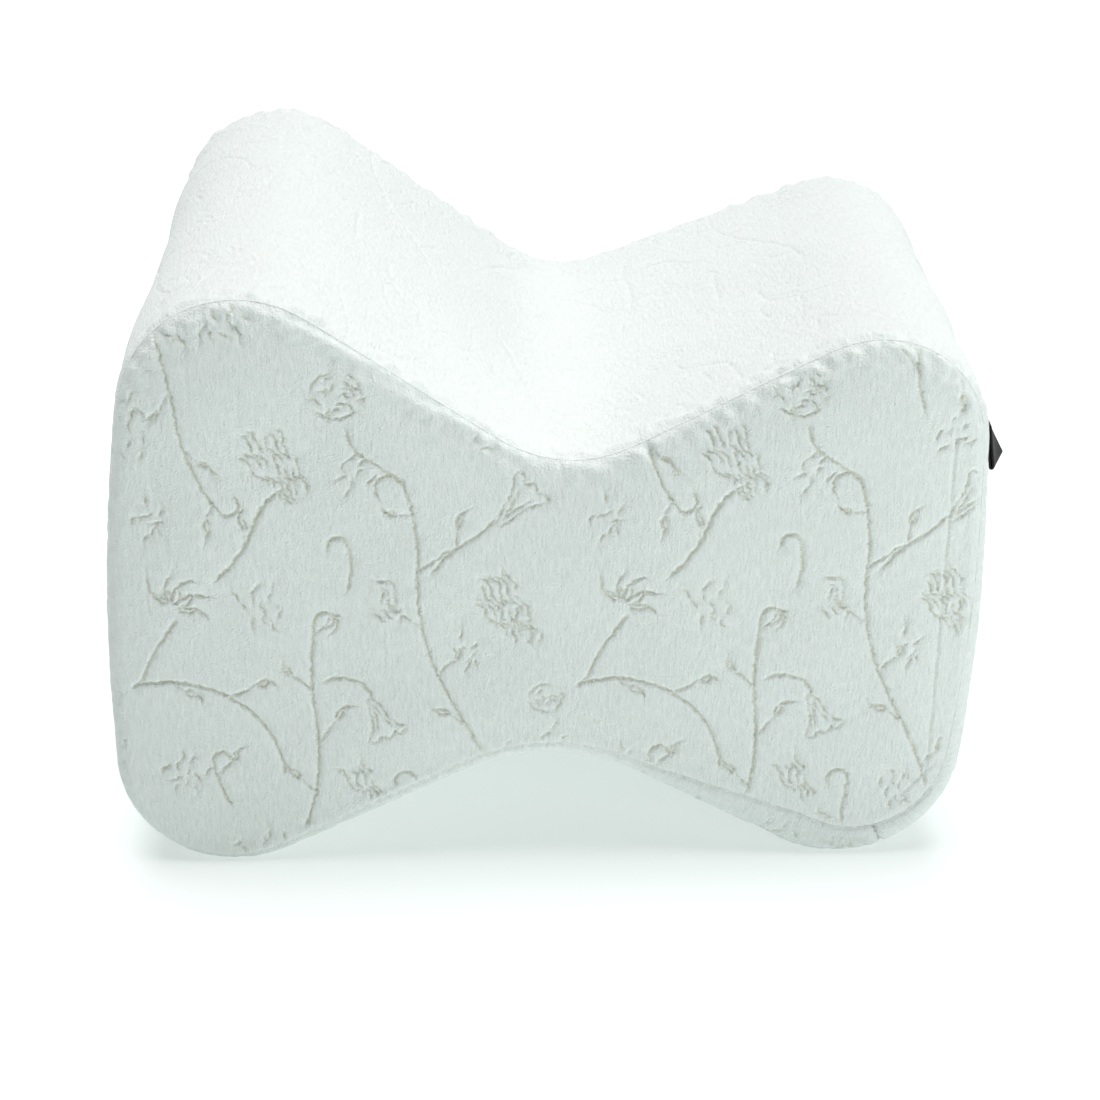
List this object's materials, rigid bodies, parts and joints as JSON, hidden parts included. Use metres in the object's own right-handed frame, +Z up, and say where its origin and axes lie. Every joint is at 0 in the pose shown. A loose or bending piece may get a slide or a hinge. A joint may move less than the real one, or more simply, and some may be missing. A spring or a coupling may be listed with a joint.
{
  "type": "knee pillow",
  "caption": "Hourglass knee pillow of soft foam in a pile cover, with a leg cradle on top, an arch below and two end panels.",
  "frame": {"origin": "middle of the footprint, on the surface that the feet rest on", "axes": "+X along the width, from the left crest to the right one as seen from the front; +Y from the front panel to the back panel; +Z up, out of the leg cradle"},
  "size_m": [0.2577, 0.197, 0.1786],
  "materials": {
    "pile_cover": "white short pile velour with engraved vines",
    "black_ribbon": "black satin ribbon"
  },
  "bodies": {
    "root": {"pillow_body": "pile_cover", "front_panel": "pile_cover", "back_panel": "pile_cover", "side_tab": "black_ribbon"}
  },
  "joints": []
}
